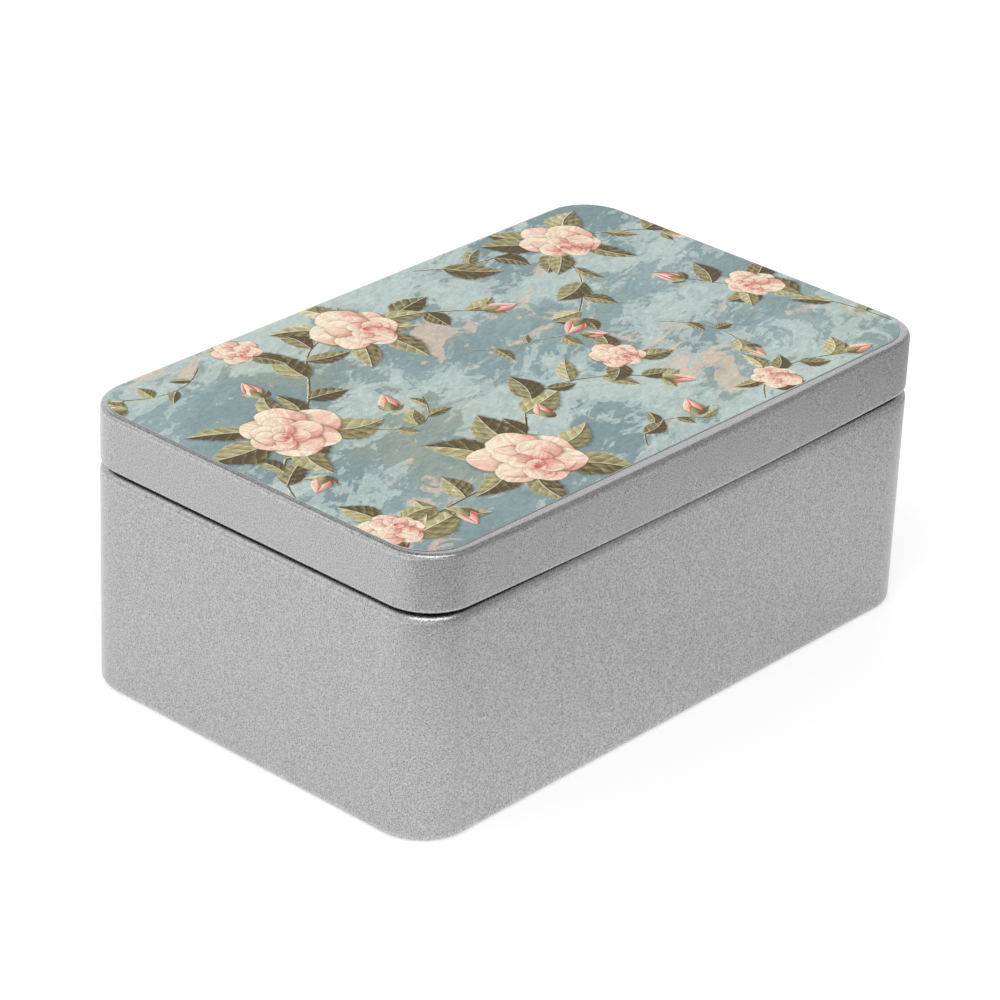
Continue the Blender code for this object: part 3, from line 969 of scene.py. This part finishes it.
def paint_layers(mesh, corners):
    """Writes the motifs' own coordinates to as few layers as each face needs.

    A motif takes the first layer above those used on that face. Where it fills the face, those
    below are cleared first, because they no longer show. corners is an array of face corners
    (faces, 4, 2) in millimetres, for the mesh's first faces. Returns the layers as (kind,
    attribute name) in painting order.
    """
    middle = corners.mean(axis=1)
    cell = np.hypot(*(corners - middle[:, None]).reshape(-1, 2).T).max()
    layers = {kind: [] for kind in PAINTS}
    used = {kind: np.zeros(len(corners), int) for kind in layers}

    def write(kind, inside, filled, along, across, number):
        values = np.stack((along, across, np.full_like(along, number)), axis=-1)
        for places in layers[kind]:
            places[filled] = EMPTY_PLACE
        used[kind][filled] = 0
        for level in range(used[kind][inside].max(initial=-1) + 1):
            if level == len(layers[kind]):
                layers[kind].append(np.tile(np.array(EMPTY_PLACE), (len(corners), 4, 1)))
            here = inside & (used[kind] == level)
            layers[kind][level][here] = values[here]
        used[kind][inside] += 1

    for number, (points, half_width, _, _) in enumerate(SPRAYS):
        curve = bezier(points, np.linspace(0, 1, CURVE_POINTS))
        along, across = stem_places(corners, curve)
        gap = np.hypot(*(middle[:, None] - curve).transpose(2, 0, 1)).min(1)
        inside = gap < half_width + cell + np.hypot(*np.diff(curve, axis=0).T).max() / 2
        share = (number + 0.5) / len(SPRAYS)
        write("stem", inside, inside & False, along, across / half_width, share)
    for kind, x, y, angle, size, hidden, number in print_motifs(PAINT_SEED):
        along, across = motif_places(middle, x, y, angle, size)
        pad = cell / size
        stretch, sharpness, wide, wide_margin, sure, sure_margin = REACH[kind]
        rise = np.sin(np.clip(along, 0, 1) ** stretch * math.pi) ** sharpness
        inside = (along > hidden - BASE_MARGIN - pad) & (along < 1 + END_FADE + pad)
        inside &= np.abs(across) < wide * rise + wide_margin + pad
        filled = inside & (np.abs(across) < sure * rise - sure_margin - pad)
        write(kind, inside, filled, *motif_places(corners, x, y, angle, size), number)
    names = []
    for kind, made in layers.items():
        for level, places in enumerate(made, start=1):
            name = f"{kind}_layer_{level}"
            values = np.tile(np.array(EMPTY_PLACE, np.float32), (len(mesh.loops), 1))
            values[: len(corners) * 4] = places.reshape(-1, 3)
            layer = mesh.attributes.new(name, "FLOAT_VECTOR", "CORNER")
            layer.data.foreach_set("vector", values.ravel())
            names.append((kind, name))
    return names


def chosen(scene):
    """The scene's sizes, grid and finish."""
    return scene.tinbox_sizes, scene.tinbox_grid, scene.tinbox_finish


def shared_tin(finish):
    """The outer and inner tin materials, made once and kept in the file."""
    if "matt_tin" not in bpy.data.materials:
        group = grain_group()
        tin_material("matt_tin", finish.tin, finish.tin_roughness, finish.grain_depth, 1.0, finish, group)
        tin_material("plain_tin", finish.bare_tin, finish.bare_roughness, 0.08, 0.5, finish, group)
    return bpy.data.materials["matt_tin"], bpy.data.materials["plain_tin"]


def pressed(sizes, grid, u, v, legs, bow=None):
    """A sheet pressed to a cap, from a section that starts at (u, v) towards the rim.

    Returns points, quads, the quads of its inner face and 1 for points on bends.
    """
    path = sheet_path(u, v, 180, legs, grid)
    under, over = strip_faces(path, sizes.sheet)
    plan = Plan(sizes.box_length, sizes.box_width, sizes.corner_radius, grid)
    points, quads, ring, _ = cap_surface(plan, np.vstack((over, under[::-1])), bow)
    bend = np.concatenate((path[:, 5], path[::-1, 5]))[ring]
    return points, quads, (ring >= len(path))[quads].all(axis=1), bend


def body_path(sizes, grid):
    """The wall's strip, from the end of its bottom fold to the end of its rim curl."""
    lid_lower = sizes.box_height - sizes.skirt_depth
    shoulder_top = lid_lower - sizes.shoulder_gap
    neck_step = sizes.lid_inset + sizes.lid_curl + sizes.lid_clearance
    rim_top = sizes.box_height - sizes.sheet - sizes.touch_gap
    half = sizes.sheet / 2
    fold = sizes.sheet + sizes.touch_gap
    fold_top = 2 * fold + sizes.sheet
    base_top = sizes.base_recess + sizes.sheet
    fillet = neck_step - sizes.shoulder
    curl = sizes.rim_curl / 2 - half
    wall_start = sizes.foot_edge
    wall_end = shoulder_top - sizes.shoulder
    neck_start = shoulder_top + fillet
    neck_end = rim_top - sizes.rim_curl / 2

    def climb(start, low, high):
        seam_high = high - sizes.seam_end
        return (
            ("run", low - start, 0.0),
            ("run", sizes.seam_ramp, 1.0),
            ("run", seam_high - low - 2 * sizes.seam_ramp, 1.0),
            ("run", sizes.seam_ramp, 0.0),
            ("run", high - seam_high, 0.0),
        )

    legs = (
        ("run", sizes.foot_flat, 0.0),
        ("bend", fold, -180),
        ("run", sizes.foot_flat, 0.0),
        ("bend", sizes.foot_edge - half, -90),
        *climb(wall_start, base_top + sizes.seam_end, wall_end),
        ("bend", sizes.shoulder - half, -90),
        ("bend", fillet + half, 90),
        *climb(neck_start, neck_start + sizes.seam_end, neck_end),
        ("bend", curl, -270),
    )
    return sheet_path(sizes.foot_edge, fold_top - half, 0, legs, grid)


# The stage in metres: the corner radius that the floor's glow follows, the floor's right as the
# camera sees it, how softly the low sky ends as a sine, and the lamps' places
FLOOR_CORNER = 0.011
FLOOR_RIGHT = (0.66, 0.75)
SKY_BLUR = 0.16
KEY_PLACE = (-0.33, -0.42, 1.02)
SIDE_PLACE = (-0.80, 0.80, 0.80)


class TINBOX_OT_wall(bpy.types.Operator):
    """Rolls the wall: one closed strip section carried once round the box, lapped at the rear seam"""

    bl_idname = "tinbox.wall"
    bl_label = "Wall"

    def execute(self, context):
        sizes, grid, finish = chosen(context.scene)
        half = sizes.seam_width / 2
        groove_x = half - sizes.groove_width
        groove_half = sizes.groove_width / 2
        marks = (half + sizes.seam_ramp, half, groove_x + groove_half, groove_x, groove_x - groove_half)
        places = np.array((*marks, 0.0, -half, -half - sizes.seam_ramp))
        plan = Plan(sizes.box_length, sizes.box_width, sizes.corner_radius, grid, places=places)
        at = plan.both(plan.anchor_x)
        rear = plan.loop(np.zeros_like(plan.anchor_x), (plan.normal_x == 0).astype(float)) == 1
        lap = np.where(rear & (np.abs(at) < half + SLACK), 3 * sizes.sheet, 0.0)[:, None]
        groove = np.where(rear & (np.abs(at - groove_x) < SLACK), sizes.groove_depth, 0.0)[:, None]
        path = body_path(sizes, grid)
        outer, inner = strip_faces(path, sizes.sheet, lap, groove)
        section = np.concatenate((outer, inner[:, ::-1]), axis=1)
        reach = sizes.corner_radius - section[..., 0]
        normal_x = plan.both(plan.normal_x)
        side_sign = np.sign(plan.loop(-plan.normal_y, plan.normal_y))
        normal_y = side_sign * np.sqrt(np.clip(1 - normal_x**2, 0, 1))
        anchor_y = np.full_like(plan.anchor_x, plan.half_side)
        anchor_y = plan.loop(-anchor_y, anchor_y)
        points = np.stack((
            at[:, None] + normal_x[:, None] * reach,
            anchor_y[:, None] + normal_y[:, None] * reach,
            section[..., 1],
        ), axis=-1)
        flat, quads = tube_surface(points)
        inside = np.tile(np.arange(2 * len(path)) >= len(path), len(points))
        bend = np.tile(np.concatenate((path[:, 5], path[::-1, 5])), len(points))
        split = inside[quads].all(axis=1)
        tins = shared_tin(finish)
        add_piece("wall_sheet", flat, quads, tins, "body_wall", "box", split, bend)
        return {"FINISHED"}


class TINBOX_OT_base(bpy.types.Operator):
    """Presses the base: a flat plate whose flange goes down inside the wall and turns in"""

    bl_idname = "tinbox.base"
    bl_label = "Base"

    def execute(self, context):
        sizes, grid, finish = chosen(context.scene)
        flange = sizes.sheet + sizes.touch_gap + sizes.sheet / 2
        drop = sizes.base_recess + sizes.sheet / 2 - sizes.base_bend - sizes.foot_edge
        turn_in = sizes.foot_edge - flange
        legs = (
            ("bend", sizes.base_bend, 90),
            ("run", drop, 0.0),
            ("bend", turn_in, 90),
            ("run", sizes.foot_edge + sizes.foot_flat - flange - turn_in, 0.0),
        )
        start = (flange + sizes.base_bend, sizes.base_recess + sizes.sheet / 2)
        points, quads, _, bend = pressed(sizes, grid, *start, legs)
        bare = shared_tin(finish)[1:]
        add_piece("base_sheet", points, quads, bare, "base_plate", "box", None, bend)
        return {"FINISHED"}


class TINBOX_OT_lid(bpy.types.Operator):
    """Draws the lid: a flat top, a rounded edge, a skirt that bulges on the long sides and a curl"""

    bl_idname = "tinbox.lid"
    bl_label = "Lid"

    def execute(self, context):
        sizes, grid, finish = chosen(context.scene)
        half = sizes.sheet / 2
        half_straight = sizes.box_length / 2 - sizes.corner_radius
        curl_start = sizes.box_height - sizes.skirt_depth + sizes.lid_curl / 2
        legs = (
            ("bend", sizes.lid_edge - half, 90),
            ("run", sizes.box_height - sizes.lid_edge - curl_start, 0.0),
            ("bend", sizes.lid_curl / 2 - half, 270),
        )

        def bulge(x, v, sign):
            along = np.clip(1 - (x / half_straight) ** 2, 0, 1)
            depth = min(max((sizes.box_height - v) / sizes.skirt_depth, 0), 1)
            top = sizes.top_bow if sign < 0 else 0.0
            return along * (top + depth * (sizes.lower_bow - top))

        start = (sizes.lid_inset + sizes.lid_edge, sizes.box_height - half)
        points, quads, split, bend = pressed(sizes, grid, *start, legs, bulge)
        tins = shared_tin(finish)
        add_piece("lid_sheet", points, quads, tins, "lid_shell", "lid", split, bend)
        return {"FINISHED"}


class TINBOX_OT_print(bpy.types.Operator):
    """Lays the printed sheet on the lid and paints its sprays of blossoms, buds and leaves"""

    bl_idname = "tinbox.print"
    bl_label = "Printed sheet"

    def execute(self, context):
        sizes, grid, finish = chosen(context.scene)
        span_x = print_high.x - print_low.x
        span_y = print_high.y - print_low.y
        centre_y = (print_high.y + print_low.y) / 2
        steps = (round(span_x / grid.print_cell), round(span_y / grid.print_cell))
        plan = Plan(span_x, span_y, sizes.print_corner, grid, centre_y, steps)
        top, edge = lid_high.z + sizes.print_sheet, sizes.print_edge
        turn = np.radians(np.linspace(0, 90, 5))
        rounding = np.column_stack((edge - edge * np.sin(turn), top - edge + edge * np.cos(turn)))
        section = np.vstack((rounding, (0, lid_high.z + sizes.print_glue)))
        points, quads, _, cells = cap_surface(plan, section)
        piece = add_piece("lid_print", points, quads, (), "printed_panel", "lid")
        layers = paint_layers(piece.data, points[quads[:cells]][..., :2] * MILLIMETRES)
        piece.data.materials.append(print_material(finish, layers, top))
        return {"FINISHED"}


class TINBOX_OT_stage(bpy.types.Operator):
    """Sets up the white floor, the soft light and the camera"""

    bl_idname = "tinbox.stage"
    bl_label = "Stage"

    def execute(self, context):
        stage = context.scene.tinbox_stage
        self.make_floor(stage)
        self.make_sky(context.scene, stage)
        self.make_lamps(stage)
        self.make_camera(context.scene, stage)
        context.scene.view_settings.view_transform = "Standard"
        return {"FINISHED"}

    def make_floor(self, stage):
        """A pale floor. Reflections see it bright near the box, and less so at the front right."""
        reach = stage.floor_size / 2
        corners = [(-reach, -reach, 0), (reach, -reach, 0), (reach, reach, 0), (-reach, reach, 0)]
        mesh = bpy.data.meshes.new("floor")
        mesh.from_pydata(corners, [], [(0, 1, 2, 3)])
        material, tree, sockets = new_material("floor_white", 0.0)
        feed(sockets["Base Color"], stage.floor_colour)
        feed(sockets["Roughness"], 0.9)
        feed(sockets["Emission Color"], (1, 1, 1))
        rays = tree.nodes.new("ShaderNodeLightPath")
        kinds = ("Camera", "Glossy", "Transmission")
        seen, glossy, through = (Field(tree, rays.outputs[f"Is {kind} Ray"]) for kind in kinds)
        x, y, _ = split_up(object_place(tree))
        away_x = (x.size() - (wall_high.x - FLOOR_CORNER)).most(0.0)
        away_y = (y.size() - (wall_high.y - FLOOR_CORNER)).most(0.0)
        away = (away_x * away_x + away_y * away_y).root() - FLOOR_CORNER
        turned = x * FLOOR_RIGHT[0] - y * FLOOR_RIGHT[1]
        side = turned.eased(0.0, 0.08) * stage.floor_side
        fade = away.eased(stage.floor_far, stage.floor_near).most(turned.eased(-0.05, -0.12))
        glow = fade * (1.0 - side) * stage.floor_glow
        mirrored = (glossy + through).least(1.0)
        feed(sockets["Emission Strength"], seen * stage.floor_lift + mirrored * glow)
        mesh.materials.append(material)
        floor = bpy.data.objects.new("floor", mesh)
        bpy.context.scene.collection.objects.link(floor)

    def make_sky(self, scene, stage):
        """A sky that is bright low down and ends higher at the left and the rear."""
        world = bpy.data.worlds.new("studio")
        world.use_nodes = True
        tree = world.node_tree
        sockets = tree.nodes["Background"].inputs
        x, y, height = split_up(new_field(tree, "TexCoord", "Generated"))
        left = x.eased(-0.1, -0.4) * stage.sky_left
        turn = left.most(y.eased(0.15, 0.55) * stage.sky_rear) + stage.sky_turn
        low = x.eased(0.2, 0.6) * y.eased(0.2, 0.5) * stage.sky_back + stage.sky_low
        level = low + height.eased(turn, turn + SKY_BLUR) * (stage.sky_top - low)
        feed(sockets["Color"], (1, 1, 1))
        feed(sockets["Strength"], level)
        scene.world = world

    def make_lamps(self, stage):
        for name, energy, width, depth, place in (
            ("key_softbox", stage.key_power, stage.key_width, stage.key_depth, KEY_PLACE),
            ("side_softbox", stage.side_power, stage.side_width, stage.side_width, SIDE_PLACE),
        ):
            data = bpy.data.lights.new(name, "AREA")
            data.energy = energy
            data.shape = "ELLIPSE"
            data.size = width
            data.size_y = depth
            lamp = bpy.data.objects.new(name, data)
            lamp.location = place
            lamp.rotation_euler = (-Vector(place)).to_track_quat("-Z", "Y").to_euler()
            bpy.context.scene.collection.objects.link(lamp)

    def make_camera(self, scene, stage):
        """The camera looks along its axis past the target by the frame shares given for its aim."""
        az, el = stage.azimuth, stage.elevation
        back = Vector((math.sin(az) * math.cos(el), -math.cos(az) * math.cos(el), math.sin(el)))
        right = (-back).cross(Vector((0, 0, 1))).normalized()
        up = right.cross(-back)
        cos, sin = math.cos(stage.roll), math.sin(stage.roll)
        right, up = cos * right + sin * up, cos * up - sin * right
        reach = stage.distance / stage.focal
        place = Vector((0, 0, stage.target_height)) + back * stage.distance
        place += up * stage.centre_down * reach - right * stage.centre_right * reach
        data = bpy.data.cameras.new("camera")
        data.sensor_width = 36
        data.lens = stage.focal * data.sensor_width
        camera = bpy.data.objects.new("camera", data)
        camera.matrix_world = Matrix.Translation(place) @ Matrix((right, up, back)).transposed().to_4x4()
        scene.collection.objects.link(camera)
        scene.camera = camera


class TINBOX_PT_panel(bpy.types.Panel):
    """Lists the box's pieces, sizes and finishes"""

    bl_idname = "TINBOX_PT_panel"
    bl_label = "Tin box"
    bl_space_type = "VIEW_3D"
    bl_region_type = "UI"
    bl_category = "Tin box"

    def draw(self, context):
        layout = self.layout
        for operator in OPERATORS:
            layout.operator(operator.bl_idname)
        for name in SETTINGS:
            group = getattr(context.scene, name)
            box = layout.box()
            for label in group.bl_rna.properties.keys():
                if label not in {"rna_type", "name"}:
                    box.prop(group, label)


OPERATORS = (TINBOX_OT_wall, TINBOX_OT_base, TINBOX_OT_lid, TINBOX_OT_print, TINBOX_OT_stage)
SETTINGS = {
    "tinbox_sizes": TinBoxSizes,
    "tinbox_grid": TinBoxGrid,
    "tinbox_finish": TinBoxFinish,
    "tinbox_stage": TinBoxStage,
}


def register():
    for group in SETTINGS.values():
        bpy.utils.register_class(group)
    for name, group in SETTINGS.items():
        setattr(bpy.types.Scene, name, PointerProperty(type=group))
    for made in (*OPERATORS, TINBOX_PT_panel):
        bpy.utils.register_class(made)


def unregister():
    for made in (TINBOX_PT_panel, *reversed(OPERATORS)):
        bpy.utils.unregister_class(made)
    for name, group in SETTINGS.items():
        delattr(bpy.types.Scene, name)
        bpy.utils.unregister_class(group)


def main():
    register()
    bpy.ops.tinbox.wall()
    bpy.ops.tinbox.base()
    bpy.ops.tinbox.lid()
    bpy.ops.tinbox.print()
    bpy.ops.tinbox.stage()


if __name__ == "__main__":
    main()
